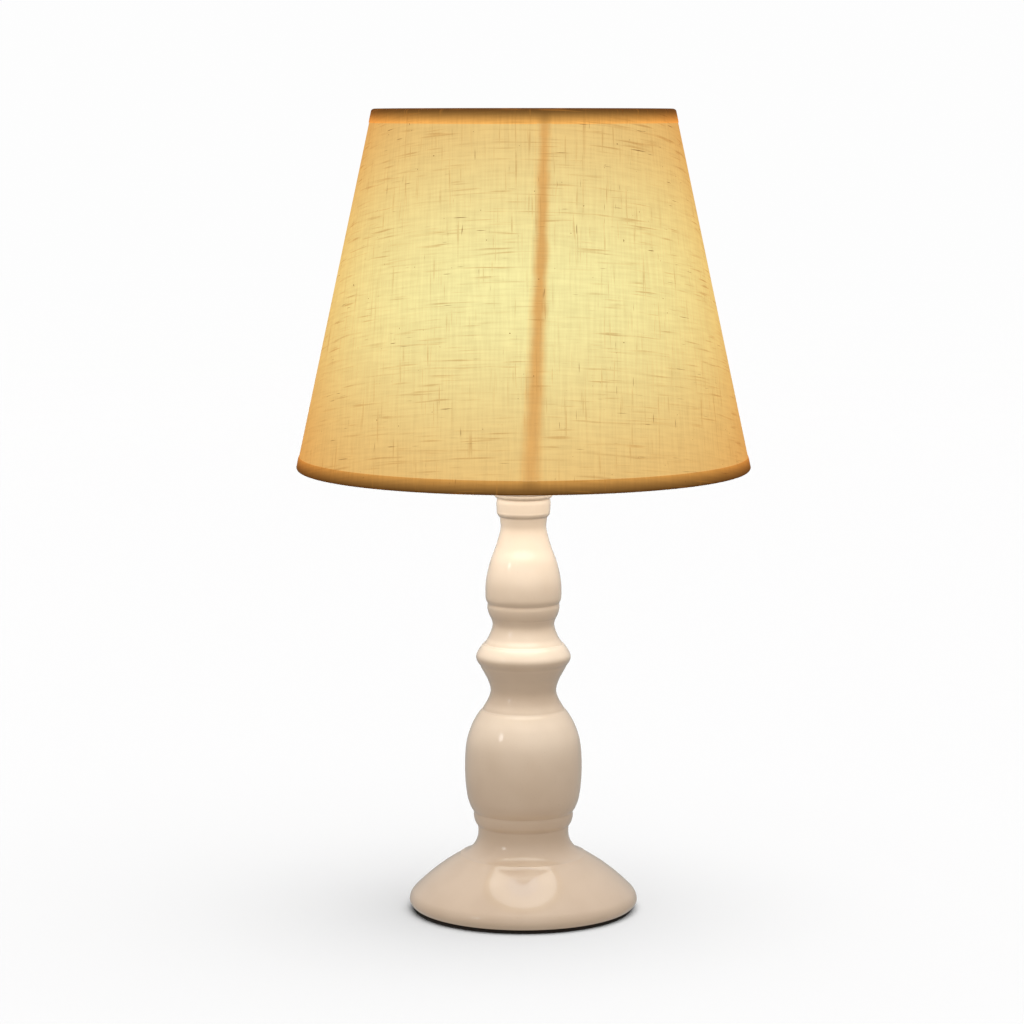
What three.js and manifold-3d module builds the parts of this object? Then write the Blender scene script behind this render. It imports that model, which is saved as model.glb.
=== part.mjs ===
// A table lamp: a turned and lacquered column on a flared foot, an edison-screw lampholder
// with a push-bar switch, a candle bulb, and a tapered linen shade on a wire carrier.
// Millimetres, +Z up. The origin lies on the table, under the centre of the lamp.

import * as THREE from 'three';
import { mergeVertices } from 'three/addons/utils/BufferGeometryUtils.js';
import Module from 'manifold-3d';

const wasm = await Module();
wasm.setup();

// ---------------------------------------------------------------- driving dimensions
const GAP = 0.3;                  // between pieces that touch
const LAMP_HEIGHT = 400;

// foot
const PAD_RADIUS = 55;
const PAD_THICKNESS = 1.6;
const FOOT_RADIUS = 57.3;
const FOOT_TOP = 42.5;
const WEIGHT_RADIUS = 40;
const CORD_HEIGHT = 8.5;          // axis of the cord bush above the table
const CORD_BORE = 3.3;            // radius of the hole that the cord leaves by

// the threaded tube that holds the column together
const TUBE_RADIUS = 5;
const TUBE_BORE = 3.6;
const TUBE_BOTTOM = 5.2;
const TUBE_TOP = 218;
const COLUMN_BORE = 5.6;

// heights of the joints between the turned pieces
const BAND_TOP = 49.6;
const BELLY_TOP = 101.5;
const WAIST_TOP = 124.2;
const RING_TOP = 134.7;
const SPOOL_TOP = 155.2;
const PEAR_TOP = 198.7;
const COLLAR_TOP = 207.6;
const CAP_TOP = 213;

// lampholder and bulb
const HOLDER_RADIUS = 19.2;
const HOLDER_CAP_TOP = 238;
const HOLDER_TOP = 266;
const BAR_HEIGHT = 231;           // middle of the switch bar
const BAR_TRAVEL = 6;
const SHOULDER_TOP = 245.2;       // the shade's carrier rests here
const THREAD_RADIUS = 19.4;       // outside of the lampholder's shade thread
const LAMP_CAP_RADIUS = 13.1;     // 26 mm edison screw
const SCREW_PITCH = 3.63;
const BULB_TIP = 244.3;
const BULB_NECK = 271.4;
const BULB_TOP = 345.6;

// shade
const SHADE_BOTTOM = 222.5;
const SHADE_TOP = LAMP_HEIGHT;
const SHADE_BOTTOM_RADIUS = 112.6;
const SHADE_TOP_RADIUS = 74.2;
const HEM_HEIGHT = 6.8;
const CLOTH_THICKNESS = 0.8;
const LINER_THICKNESS = 0.7;
const WIRE_RADIUS = 1.2;
const ARM_COUNT = 3;
const CARRIER_INNER = 20.6;
const CARRIER_OUTER = 25.2;

// ---------------------------------------------------------------- materials
const finish = (color, roughness, metalness = 0) =>
  new THREE.MeshStandardMaterial({ color, roughness, metalness });

const lacquer = finish(0xddc3ab, 0.25);
const foam = finish(0x16130f, 0.9);
const castIron = finish(0x3a3a3c, 0.7, 0.6);
const zinc = finish(0xb5b7ba, 0.35, 1);
const brass = finish(0xc9a14a, 0.3, 1);
const nickel = finish(0xc8c9cc, 0.25, 1);
const blackPlastic = finish(0x1c1c1e, 0.45);
const whitePlastic = finish(0xece8df, 0.4);
const insulator = finish(0x101012, 0.2);
const brownLead = finish(0x5a2f1b, 0.5);
const blueLead = finish(0x2350a0, 0.5);
const linen = finish(0xf0dca0, 0.95);
const hemCloth = finish(0xd9a866, 0.95);
const linerFilm = finish(0xf6f2e4, 0.6);
const whiteWire = finish(0xf2f0ea, 0.35, 0.2);
const glass = finish(0xfff4dc, 0.05);
const filament = finish(0xffb347, 0.4);

// ---------------------------------------------------------------- helpers
const SIDES = 24;                 // of most turned pieces
const lamp = new THREE.Group();

function add(name, geometry, material, parent = lamp) {
  const mesh = new THREE.Mesh(geometry, material);
  mesh.name = name;
  parent.add(mesh);
  return mesh;
}

// A solid of revolution about +Z from an outline of [radius, height] points. The outline either
// closes on itself or starts and ends on the axis.
function turned(outline, segments = SIDES) {
  const onAxis = outline[0][0] === 0 && outline.at(-1)[0] === 0;
  const loop = onAxis ? outline : [...outline, outline[0]];
  const doubleArea = loop.reduce((sum, [r, z], i) => {
    const [r2, z2] = loop[(i + 1) % loop.length];
    return sum + r * z2 - r2 * z;
  }, 0);
  const anticlockwise = doubleArea > 0 ? loop : [...loop].reverse();
  const points = anticlockwise.map(([r, z]) => new THREE.Vector2(r, z));
  return new THREE.LatheGeometry(points, segments).rotateX(Math.PI / 2);
}

// Points of a circular arc from a to b that bows out by sag (inwards if negative), both ends in.
function arc(a, b, sag, steps = 4) {
  const chord = Math.hypot(b[0] - a[0], b[1] - a[1]);
  const radius = (chord * chord / 4 + sag * sag) / (2 * Math.abs(sag));
  const half = Math.asin(chord / 2 / radius);
  const side = Math.sign(sag);
  const normal = [(b[1] - a[1]) / chord, -(b[0] - a[0]) / chord];
  return Array.from({ length: steps + 1 }, (_, i) => {
    const angle = half * (2 * i / steps - 1);
    const along = 0.5 + radius * Math.sin(angle) / chord;
    const out = side * (radius * Math.cos(angle) - radius * Math.cos(half));
    return [
      a[0] + (b[0] - a[0]) * along + normal[0] * out,
      a[1] + (b[1] - a[1]) * along + normal[1] * out,
    ];
  });
}

// A smooth outline through a few stations of [radius, height].
function swept(stations, steps) {
  const curve = new THREE.SplineCurve(stations.map(([r, z]) => new THREE.Vector2(r, z)));
  return curve.getPoints(steps).map((p) => [p.x, p.y]);
}

// An outline given from the bottom up becomes a turned piece with a straight bore.
function bored(outline, bore = COLUMN_BORE) {
  return turned([...outline, [bore, outline.at(-1)[1]], [bore, outline[0][1]]]);
}

function washer(inner, outer, bottom, top) {
  return turned([[inner, bottom], [outer, bottom], [outer, top], [inner, top]]);
}

// A hexagonal nut across corners, with a round hole that clears the tube.
function hexNut(corner, bottom, top) {
  const outline = new THREE.Shape();
  for (let i = 0; i < 6; i++) {
    const angle = Math.PI / 3 * i;
    if (i === 0) outline.moveTo(corner, 0);
    else outline.lineTo(corner * Math.cos(angle), corner * Math.sin(angle));
  }
  outline.holes.push(new THREE.Path().absarc(0, 0, TUBE_RADIUS + GAP, 0, 2 * Math.PI, true));
  const depth = top - bottom;
  return new THREE.ExtrudeGeometry(outline, { depth, bevelEnabled: false, curveSegments: 10 })
    .translate(0, 0, bottom);
}

function disc(radius, bottom, top, segments = SIDES) {
  return new THREE.CylinderGeometry(radius, radius, top - bottom, segments)
    .rotateX(Math.PI / 2)
    .translate(0, 0, (bottom + top) / 2);
}

function block(width, depth, height, x, y, z) {
  return new THREE.BoxGeometry(width, depth, height).translate(x, y, z);
}

// A round wire through a list of points.
function wire(points, radius, steps, sides = 8) {
  const corners = points.map((p) => new THREE.Vector3(...p));
  const path = new THREE.CatmullRomCurve3(corners, false, 'centripetal');
  const section = new THREE.Shape();
  for (let i = 0; i < sides; i++) {
    const angle = 2 * Math.PI * i / sides;
    const [x, y] = [radius * Math.cos(angle), radius * Math.sin(angle)];
    if (i === 0) section.moveTo(x, y);
    else section.lineTo(x, y);
  }
  return new THREE.ExtrudeGeometry(section, { steps, extrudePath: path });
}

function toSolid(geometry) {
  const bare = geometry.clone();
  bare.deleteAttribute('normal');
  bare.deleteAttribute('uv');
  const merged = mergeVertices(bare, 1e-4);
  return new wasm.Manifold(new wasm.Mesh({
    numProp: 3,
    vertProperties: merged.attributes.position.array,
    triVerts: Uint32Array.from(merged.index.array),
  }));
}

function toGeometry(solid) {
  const mesh = solid.getMesh();
  const geometry = new THREE.BufferGeometry();
  geometry.setAttribute('position', new THREE.BufferAttribute(mesh.vertProperties, 3));
  geometry.setIndex(new THREE.BufferAttribute(mesh.triVerts, 1));
  return geometry;
}

function cutAway(geometry, ...tools) {
  return toGeometry(tools.reduce((solid, tool) => solid.subtract(toSolid(tool)), toSolid(geometry)));
}

// ---------------------------------------------------------------- foot
const TUBE_HOLE = TUBE_RADIUS + GAP;
const FOOT_BOTTOM = PAD_THICKNESS + GAP;
const DOME_EDGE = 27.3;           // height of the crease between the dome and the cove
const RECESS_TOP = 9.2;

function addFoot() {
  add('base_pad', disc(PAD_RADIUS, 0, PAD_THICKNESS, 48), foam);

  const outside = [
    ...arc([PAD_RADIUS + 0.4, FOOT_BOTTOM], [FOOT_RADIUS, 4.8], 0.4, 2),
    ...arc([FOOT_RADIUS, 4.8], [55.6, 9], 0.35, 2).slice(1),
    ...arc([55.6, 9], [32.6, DOME_EDGE - 0.4], 1, 4).slice(1),
    ...arc([31.9, DOME_EDGE + 0.2], [23.1, FOOT_TOP], -3, 6),
  ];
  const inside = [
    [TUBE_HOLE, FOOT_TOP],
    [TUBE_HOLE, 37],
    [18.5, 37],
    [21.5, 31.5],
    [28.5, 25.6],
    [44, 15.2],
    [52.2, 7.4],
    [53.2, FOOT_BOTTOM],
  ];
  const bushHole = new THREE.CylinderGeometry(4.6, 4.6, 30, 20).translate(0, 50, CORD_HEIGHT);
  add('foot', cutAway(turned([...outside, ...inside], 36), bushHole), lacquer);

  // The cast weight sits in the foot; its recess takes the nut and a channel lets the leads in.
  const weight = turned([
    [TUBE_HOLE, RECESS_TOP],
    [14, RECESS_TOP],
    [14, FOOT_BOTTOM + 0.4],
    [WEIGHT_RADIUS, FOOT_BOTTOM + 0.4],
    [WEIGHT_RADIUS, 15],
    [WEIGHT_RADIUS - 1.5, 16.5],
    [TUBE_HOLE, 16.5],
  ]);
  add('base_weight', cutAway(weight, block(8, 36, 9, 0, 28, 6)), castIron);
  add('base_washer', washer(TUBE_HOLE, 12, 7.7, 8.9), zinc);
  add('base_nut', hexNut(8.1, 4.6, 7.4), zinc);

  // The cord bush lies along Y in the back of the foot, with a collar outside and a lip inside.
  const bush = turned([
    [CORD_BORE, 42],
    [5.6, 42],
    [5.6, 44],
    [4.3, 44],
    [4.3, 58],
    [5.4, 58],
    [5.4, 60.2],
    [4.6, 61],
    [CORD_BORE, 61],
  ], 16);
  add('cord_bush', bush.rotateX(-Math.PI / 2).translate(0, 0, CORD_HEIGHT), blackPlastic);
}

// ---------------------------------------------------------------- column
function addColumn() {
  add('threaded_tube', washer(TUBE_BORE, TUBE_RADIUS, TUBE_BOTTOM, TUBE_TOP), zinc);

  const band = arc([23.4, FOOT_TOP + GAP], [25.1, BAND_TOP], 0.4, 3);
  add('foot_band', bored(band), lacquer);

  const belly = swept([
    [25.3, BAND_TOP + GAP],
    [28, 57],
    [29.3, 70],
    [28.6, 84],
    [25.6, 94],
    [21.1, BELLY_TOP],
  ], 9);
  add('belly', bored(belly), lacquer);

  const waist = swept([
    [20.8, BELLY_TOP + GAP],
    [18, 106],
    [16.4, 111],
    [17.6, 116],
    [19.6, 120],
    [22.1, WAIST_TOP],
  ], 7);
  add('waist', bored(waist), lacquer);

  const ring = swept([
    [22.3, WAIST_TOP + GAP],
    [23.3, 126.4],
    [23.65, 128.3],
    [22.9, 130.6],
    [20.3, RING_TOP],
  ], 6);
  add('middle_ring', bored(ring), lacquer);

  const spool = [
    ...swept([[19.8, RING_TOP + GAP], [17.4, 138.2], [15.4, 144], [16.2, 147.8]], 5),
    ...arc([16.5, 148.2], [18.1, SPOOL_TOP], 0.5, 2),
  ];
  add('spool', bored(spool), lacquer);

  const pear = swept([
    [18.3, SPOOL_TOP + GAP],
    [18.95, 159],
    [18.6, 167],
    [16.6, 176],
    [13.7, 184],
    [11.5, 192],
    [11.5, 196],
    [12.2, PEAR_TOP],
  ], 10);
  add('pear', bored(pear), lacquer);

  const collar = [
    ...arc([12.5, PEAR_TOP + GAP], [13.3, 201.4], 0.3, 2),
    [13.6, COLLAR_TOP],
  ];
  add('neck_collar', bored(collar), lacquer);

  // The cap is a shallow cup: the nut that clamps the column lies in it, under the lampholder.
  const cap = turned([
    [COLUMN_BORE, COLLAR_TOP + GAP],
    [13.3, COLLAR_TOP + GAP],
    ...arc([13.3, COLLAR_TOP + GAP], [14.6, 209.8], 0.3, 2).slice(1),
    [15.4, 210.6],
    [15.6, CAP_TOP],
    [9.4, CAP_TOP],
    [9.4, 209.6],
    [COLUMN_BORE, 209.6],
  ]);
  add('column_cap', cap, lacquer);
  add('column_nut', hexNut(7.6, 209.9, 212.6), zinc);
}

// ---------------------------------------------------------------- leads
// Two insulated leads run from the cord bush through the weight's channel and up the tube, part
// around the switch bar and end under their terminals.
function addLeads() {
  const routes = { lead_live: -1, lead_neutral: 1 };
  for (const [name, side] of Object.entries(routes)) {
    const x = 1.4 * side;
    const route = [
      [x, 39.5, CORD_HEIGHT],
      [x, 35.5, 5.8],
      [x, 30, 3.4],
      [x, 8, 3],
      [x, 2.8, 3.3],
      [x, 0.3, 6],
      [x, 0, 10],
      [x, 0, 110],
      [x, 0, 214],
      [x, 0, TUBE_TOP + 0.5],
      [x * 0.8, -3.2 * side, 222.5],
      [x * 0.4, -7.6 * side, 227],
      [0, -9 * side, 233.6],
    ];
    add(name, wire(route, 1, 36, 6), side < 0 ? brownLead : blueLead);
  }
}

// ---------------------------------------------------------------- lampholder
function addLampholder() {
  const cap = turned([
    [TUBE_HOLE, CAP_TOP + GAP],
    [15, CAP_TOP + GAP],
    [17.6, 217],
    [HOLDER_RADIUS, 224],
    [HOLDER_RADIUS, HOLDER_CAP_TOP],
    [17.4, HOLDER_CAP_TOP],
    [17.4, 219.5],
    [8.6, 219.5],
    [8.6, 216.5],
    [TUBE_HOLE, 216.5],
  ]);
  const barSlot = block(60, 6.4, 5, 0, 0, BAR_HEIGHT);
  add('holder_cap', cutAway(cap, barSlot), blackPlastic);

  for (const [name, side] of [['terminal_live', 1], ['terminal_neutral', -1]]) {
    add(name, block(6, 5, 3.8, 0, 9 * side, 236.1), brass);
  }
  add('contact_base', disc(16.8, 238.4, 242.4), whitePlastic);
  add('centre_contact', disc(3, 242.7, 244, 12), brass);

  const shell = turned([
    [HOLDER_RADIUS, HOLDER_CAP_TOP + GAP],
    [HOLDER_RADIUS, 243.2],
    [22.6, 243.8],
    [22.6, SHOULDER_TOP],
    [THREAD_RADIUS, SHOULDER_TOP],
    [THREAD_RADIUS, 262],
    [18.6, HOLDER_TOP],
    [14.8, HOLDER_TOP],
    [14.8, 264.4],
    [17.4, 264.4],
    [17.4, HOLDER_CAP_TOP + GAP],
  ]);
  add('holder_shell', shell, blackPlastic);
  const sleeve = turned([
    [6.5, 242.8],
    [14.4, 242.8],
    [14.4, 263],
    [13.6, 263],
    [13.6, 243.6],
    [6.5, 243.6],
  ]);
  add('screw_sleeve', sleeve, brass);
}

// The switch bar runs right through the lampholder's cap. Either end can be pushed.
function addSwitch() {
  const outline = new THREE.Shape();
  const [left, right, half] = [-HOLDER_RADIUS - 2, HOLDER_RADIUS + 2 + BAR_TRAVEL, 2.9];
  outline.moveTo(left + 1, -half);
  outline.lineTo(right - 1, -half);
  outline.quadraticCurveTo(right, -half, right, -half + 1);
  outline.lineTo(right, half - 1);
  outline.quadraticCurveTo(right, half, right - 1, half);
  outline.lineTo(left + 1, half);
  outline.quadraticCurveTo(left, half, left, half - 1);
  outline.lineTo(left, -half + 1);
  outline.quadraticCurveTo(left, -half, left + 1, -half);
  const bar = new THREE.ExtrudeGeometry(outline, { depth: 4.2, bevelEnabled: false, curveSegments: 3 });
  add('switch_bar', bar.translate(0, 0, BAR_HEIGHT - 2.1), whitePlastic);
}

// ---------------------------------------------------------------- bulb
function addBulb() {
  add('bulb_tip', disc(3.4, BULB_TIP, BULB_TIP + 1.2, 16), nickel);
  const vitrite = turned([
    [0, BULB_TIP + 1.5],
    [4.6, BULB_TIP + 1.5],
    [10.8, 248.6],
    [10.8, 250],
    [0, 250],
  ], 20);
  add('bulb_insulator', vitrite, insulator);

  const turns = Array.from({ length: 4 }, (_, i) => 252 + i * SCREW_PITCH);
  const thread = turns.flatMap((z) => [[12.3, z - 0.9], [LAMP_CAP_RADIUS, z + 0.9]]);
  const cap = turned([
    [11.2, 249],
    [12, 249],
    ...thread,
    [12.3, 265.5],
    [LAMP_CAP_RADIUS - 0.2, 267],
    [LAMP_CAP_RADIUS - 0.2, BULB_NECK - GAP],
    [11.2, BULB_NECK - GAP],
  ]);
  add('bulb_cap', cap, nickel);

  const outer = swept([
    [12.4, BULB_NECK],
    [14.9, 278],
    [17.5, 291],
    [16.7, 305],
    [12.6, 322],
    [6.6, 336],
    [2, 344],
  ], 9);
  const inner = outer.map(([r, z]) => [Math.max(r - 0.9, 1), z - (z > 330 ? 0.8 : 0)]);
  inner[0][1] = BULB_NECK;
  const envelope = turned([[0, BULB_TOP], ...outer.reverse(), ...inner, [0, BULB_TOP - 1.8]]);
  add('bulb_glass', envelope, glass);

  const stem = turned([[0, 270], [7, 270], [3, 274], [2.2, 284], [0, 284]], 12);
  add('bulb_stem', stem, glass);
  const filamentCount = 4;
  for (let i = 0; i < filamentCount; i++) {
    const angle = (i + 0.5) / filamentCount * 2 * Math.PI;
    const rod = new THREE.CylinderGeometry(0.9, 0.9, 32, 8).rotateX(Math.PI / 2);
    const mesh = add(`filament_${i + 1}`, rod, filament);
    mesh.position.set(6 * Math.cos(angle), 6 * Math.sin(angle), 298);
  }
}

// ---------------------------------------------------------------- shade
const SHADE_TAPER = (SHADE_BOTTOM_RADIUS - SHADE_TOP_RADIUS) / (SHADE_TOP - SHADE_BOTTOM);
const coneRadius = (z) => SHADE_BOTTOM_RADIUS - SHADE_TAPER * (z - SHADE_BOTTOM);
const CLOTH_INSET = 0.5;          // the cloth lies this far inside the hems' outer line
const LINER_INSET = CLOTH_INSET + CLOTH_THICKNESS + GAP;
const WIRE_INSET = LINER_INSET + LINER_THICKNESS + GAP + WIRE_RADIUS;
const CARRIER_BOTTOM = SHOULDER_TOP + GAP;
const CARRIER_TOP = CARRIER_BOTTOM + 1.4;

// A cone of even thickness between two heights, its outside inset from the shade's outer line.
function coneShell(inset, thickness, bottom, top, segments = 48) {
  return turned([
    [coneRadius(bottom) - inset, bottom],
    [coneRadius(top) - inset, top],
    [coneRadius(top) - inset - thickness, top],
    [coneRadius(bottom) - inset - thickness, bottom],
  ], segments);
}

function addShade() {
  add('shade_cloth', coneShell(CLOTH_INSET, CLOTH_THICKNESS, SHADE_BOTTOM + 0.2, SHADE_TOP - 0.2), linen);
  add('shade_liner', coneShell(LINER_INSET, LINER_THICKNESS, SHADE_BOTTOM + 0.2, SHADE_TOP - 0.2), linerFilm);

  const hemThickness = 0.5;
  const hemInset = CLOTH_INSET - GAP - hemThickness;
  const bottomHem = coneShell(hemInset, hemThickness, SHADE_BOTTOM, SHADE_BOTTOM + HEM_HEIGHT);
  const topHem = coneShell(hemInset, hemThickness, SHADE_TOP - HEM_HEIGHT, SHADE_TOP);
  add('bottom_hem', bottomHem, hemCloth);
  add('top_hem', topHem, hemCloth);

  // The cloth's two ends meet in a lap seam, which leans a little as it goes up.
  const seamAt = (turn, z) => {
    const radius = coneRadius(z) + 0.1;
    return new THREE.Vector3(radius * Math.sin(turn), -radius * Math.cos(turn), z);
  };
  const foot = seamAt(0.02, SHADE_BOTTOM + HEM_HEIGHT + 1);
  const head = seamAt(0.13, SHADE_TOP - HEM_HEIGHT - 1);
  const up = head.clone().sub(foot).normalize();
  const out = new THREE.Vector3(Math.sin(0.075), -Math.cos(0.075), 0);
  const across = new THREE.Vector3().crossVectors(up, out).normalize();
  const seam = new THREE.BoxGeometry(7, 0.5, foot.distanceTo(head))
    .applyMatrix4(new THREE.Matrix4().makeBasis(across, new THREE.Vector3().crossVectors(up, across), up));
  add('lap_seam', seam, linen).position.copy(foot.add(head).multiplyScalar(0.5));

  const ringAt = (z) => new THREE.TorusGeometry(coneRadius(z) - WIRE_INSET, WIRE_RADIUS, 6, 36)
    .translate(0, 0, z);
  add('bottom_wire', ringAt(SHADE_BOTTOM + 2), whiteWire);
  add('top_wire', ringAt(SHADE_TOP - 2), whiteWire);

  // The carrier: a flat ring that drops over the lampholder, held by three arms from the rim.
  add('carrier_ring', washer(CARRIER_INNER, CARRIER_OUTER, CARRIER_BOTTOM, CARRIER_TOP), whiteWire);
  const rim = coneRadius(SHADE_BOTTOM + 2) - WIRE_INSET - WIRE_RADIUS - GAP;
  const hub = (CARRIER_BOTTOM + CARRIER_TOP) / 2;
  for (let i = 0; i < ARM_COUNT; i++) {
    const arm = wire([
      [rim, 0, SHADE_BOTTOM + 2],
      [rim - 6, 0, SHADE_BOTTOM + 3],
      [CARRIER_OUTER + 12, 0, hub - 2.5],
      [CARRIER_OUTER + 5, 0, hub],
      [CARRIER_OUTER + GAP, 0, hub],
    ], WIRE_RADIUS, 9);
    add(`carrier_arm_${i + 1}`, arm, whiteWire).rotation.z = Math.PI / 2 + i * 2 * Math.PI / ARM_COUNT;
  }
}

// The ribbed ring nut turns on the lampholder's thread and clamps the carrier.
function addRingNut() {
  const ribs = 20;
  const outline = new THREE.Shape();
  for (let i = 0; i < ribs; i++) {
    const corners = [[23.2, 0], [24.2, 0.25], [24.2, 0.6], [23.2, 0.85]];
    for (const [radius, share] of corners) {
      const angle = 2 * Math.PI * (i + share) / ribs;
      const [x, y] = [radius * Math.cos(angle), radius * Math.sin(angle)];
      if (outline.curves.length === 0 && share === 0) outline.moveTo(x, y);
      else outline.lineTo(x, y);
    }
  }
  const bore = new THREE.Path();
  bore.absarc(0, 0, THREAD_RADIUS + GAP, 0, 2 * Math.PI, true);
  outline.holes.push(bore);
  const ring = new THREE.ExtrudeGeometry(outline, { depth: 8, bevelEnabled: false, curveSegments: 20 });
  add('ring_nut', ring.translate(0, 0, CARRIER_TOP + GAP), blackPlastic);
}

addFoot();
addColumn();
addLeads();
addLampholder();
addSwitch();
addBulb();
addShade();
addRingNut();

export default lamp;
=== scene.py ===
"""A turned and lacquered table lamp with a tapered linen shade, standing lit on a pale floor."""

import math

import bpy
from mathutils import Matrix, Vector


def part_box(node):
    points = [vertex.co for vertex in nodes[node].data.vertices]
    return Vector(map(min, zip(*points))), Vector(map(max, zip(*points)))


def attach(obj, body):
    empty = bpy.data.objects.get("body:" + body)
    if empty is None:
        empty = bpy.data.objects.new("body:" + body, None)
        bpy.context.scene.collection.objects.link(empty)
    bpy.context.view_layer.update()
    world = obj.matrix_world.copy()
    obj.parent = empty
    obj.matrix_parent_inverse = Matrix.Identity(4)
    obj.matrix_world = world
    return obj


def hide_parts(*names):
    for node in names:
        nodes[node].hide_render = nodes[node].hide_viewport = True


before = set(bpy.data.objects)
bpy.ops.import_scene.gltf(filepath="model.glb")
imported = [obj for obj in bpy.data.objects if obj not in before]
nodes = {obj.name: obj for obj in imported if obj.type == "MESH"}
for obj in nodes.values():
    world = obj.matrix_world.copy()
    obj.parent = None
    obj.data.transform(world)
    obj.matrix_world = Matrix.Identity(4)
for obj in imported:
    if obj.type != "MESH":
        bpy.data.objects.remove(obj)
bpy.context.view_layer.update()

bpy.ops.object.select_all(action="DESELECT")


# ---------------------------------------------------------------- camera
# A long lens four lamp heights away, level with the top of the shade and tipped a little down,
# so that the rim of the shade is seen edge on and the foot from slightly above.
CAMERA_PLACE = (-0.0057, -1.628, 0.4065)
CAMERA_TIP = 7.2
LENS = 116.0

camera_data = bpy.data.cameras.new("camera")
camera_data.sensor_width = 36.0
camera_data.lens = LENS
camera = bpy.data.objects.new("camera", camera_data)
camera.location = CAMERA_PLACE
camera.rotation_euler = (math.radians(90 - CAMERA_TIP), 0, 0)
bpy.context.scene.collection.objects.link(camera)
bpy.context.scene.camera = camera


# ---------------------------------------------------------------- foot pad
# A disc of black foam, die-cut and glued under the foot, that keeps the lamp from sliding.
# Its rim shows as a thin dark line. It is a little squashed by the weight of the lamp.
MM = 0.001
CREASE = math.radians(35)


def smooth():
    """Shade the active piece smooth, except over its sharp edges."""
    bpy.ops.object.shade_smooth_by_angle(angle=CREASE)


def turn(name, outline, around=96):
    """Turn a piece: draw its outline of (radius, height) in mm, spin it round and close it."""
    bpy.ops.object.select_all(action="DESELECT")
    start = Vector((outline[0][0], 0, outline[0][1])) * MM
    bpy.ops.mesh.primitive_plane_add(size=MM, location=start)
    piece = bpy.context.object
    piece.name = piece.data.name = name
    bpy.ops.object.transform_apply(location=True, rotation=True, scale=True)
    bpy.ops.object.mode_set(mode="EDIT")
    bpy.ops.mesh.select_all(action="SELECT")
    bpy.ops.mesh.merge(type="CENTER")
    for (radius, height), (next_radius, next_height) in zip(outline, outline[1:]):
        step = ((next_radius - radius) * MM, 0, (next_height - height) * MM)
        bpy.ops.mesh.extrude_vertices_move(TRANSFORM_OT_translate={"value": step})
    bpy.ops.mesh.select_all(action="SELECT")
    bpy.ops.mesh.spin(steps=around, angle=2 * math.pi, center=(0, 0, 0), axis=(0, 0, 1))
    bpy.ops.mesh.select_all(action="SELECT")
    bpy.ops.mesh.remove_doubles(threshold=0.001 * MM)
    bpy.ops.mesh.normals_make_consistent(inside=False)
    bpy.ops.object.mode_set(mode="OBJECT")
    smooth()
    return piece


def modify(piece, kind, **settings):
    """Add a modifier to a piece, set it and apply it."""
    bpy.context.view_layer.objects.active = piece
    bpy.ops.object.modifier_add(type=kind)
    modifier = piece.modifiers[-1]
    for key, value in settings.items():
        setattr(modifier, key, value)
    bpy.ops.object.modifier_apply(modifier=modifier.name)


def round_edges(piece, width, segments=3):
    """Round the sharp edges of a piece by a width in mm."""
    modify(piece, "BEVEL", width=width * MM, segments=segments, limit_method="ANGLE",
           angle_limit=math.radians(30), use_clamp_overlap=True)
    smooth()


def colour(red, green, blue):
    """A colour as it looks, 0 to 255, made linear for a shader."""
    def linear(value):
        share = value / 255
        return share / 12.92 if share <= 0.04045 else ((share + 0.055) / 1.055) ** 2.4
    return (linear(red), linear(green), linear(blue), 1.0)


class Signal:
    """One socket of a finish. Sums on it add Math nodes, and node() adds any other node."""

    def __init__(self, socket):
        self.socket = socket

    @staticmethod
    def feed(node, inputs):
        for key, value in inputs.items():
            if isinstance(value, Signal):
                node.id_data.links.new(value.socket, node.inputs[key])
            else:
                node.inputs[key].default_value = value

    def node(self, kind, settings, inputs, output=0):
        new = self.socket.id_data.nodes.new(kind)
        for key, value in settings.items():
            if key == "stops":
                while len(new.color_ramp.elements) < len(value):
                    new.color_ramp.elements.new(0.5)
                for element, (place, tint) in zip(new.color_ramp.elements, value):
                    element.position = place
                    element.color = tint
            else:
                setattr(new, key, value)
        Signal.feed(new, inputs)
        return Signal(new.outputs[output])

    def sum(self, operation, *values):
        return self.node("ShaderNodeMath", {"operation": operation}, dict(enumerate(values)))

    def __add__(self, other):
        return self.sum("ADD", self, other)

    def __sub__(self, other):
        return self.sum("SUBTRACT", self, other)

    def __mul__(self, other):
        return self.sum("MULTIPLY", self, other)

    def __truediv__(self, other):
        return self.sum("DIVIDE", self, other)

    def __rsub__(self, other):
        return self.sum("SUBTRACT", other, self)

    __radd__ = __add__
    __rmul__ = __mul__

    def part(self, axis):
        return self.node("ShaderNodeSeparateXYZ", {}, {0: self}, axis)

    def noise(self, scale, detail=2.0, roughness=0.5):
        settings = {"noise_dimensions": "3D"}
        inputs = {"Vector": self, "Scale": scale, "Detail": detail, "Roughness": roughness}
        return self.node("ShaderNodeTexNoise", settings, inputs, "Fac")

    def ease(self, low, high):
        """0 below low, 1 above high and smooth between."""
        settings = {"interpolation_type": "SMOOTHSTEP"}
        inputs = {"Value": self, "From Min": low, "From Max": high}
        return self.node("ShaderNodeMapRange", settings, inputs)

    def mix(self, first, second):
        """first where this is 0, second where it is 1."""
        return self.node("ShaderNodeMix", {"data_type": "RGBA"}, {0: self, 6: first, 7: second}, 2)

    def bump(self, depth, strength=1.0):
        inputs = {"Height": self, "Distance": depth, "Strength": strength}
        return self.node("ShaderNodeBump", {}, inputs)


def start_finish(name, constants):
    """A finish with its fixed values set: the material, its shader and the place on the piece."""
    finish = bpy.data.materials.new(name)
    finish.use_nodes = True
    shader = finish.node_tree.nodes["Principled BSDF"]
    Signal.feed(shader, constants)
    place = Signal(finish.node_tree.nodes.new("ShaderNodeTexCoord").outputs["Object"])
    return finish, shader, place


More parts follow.
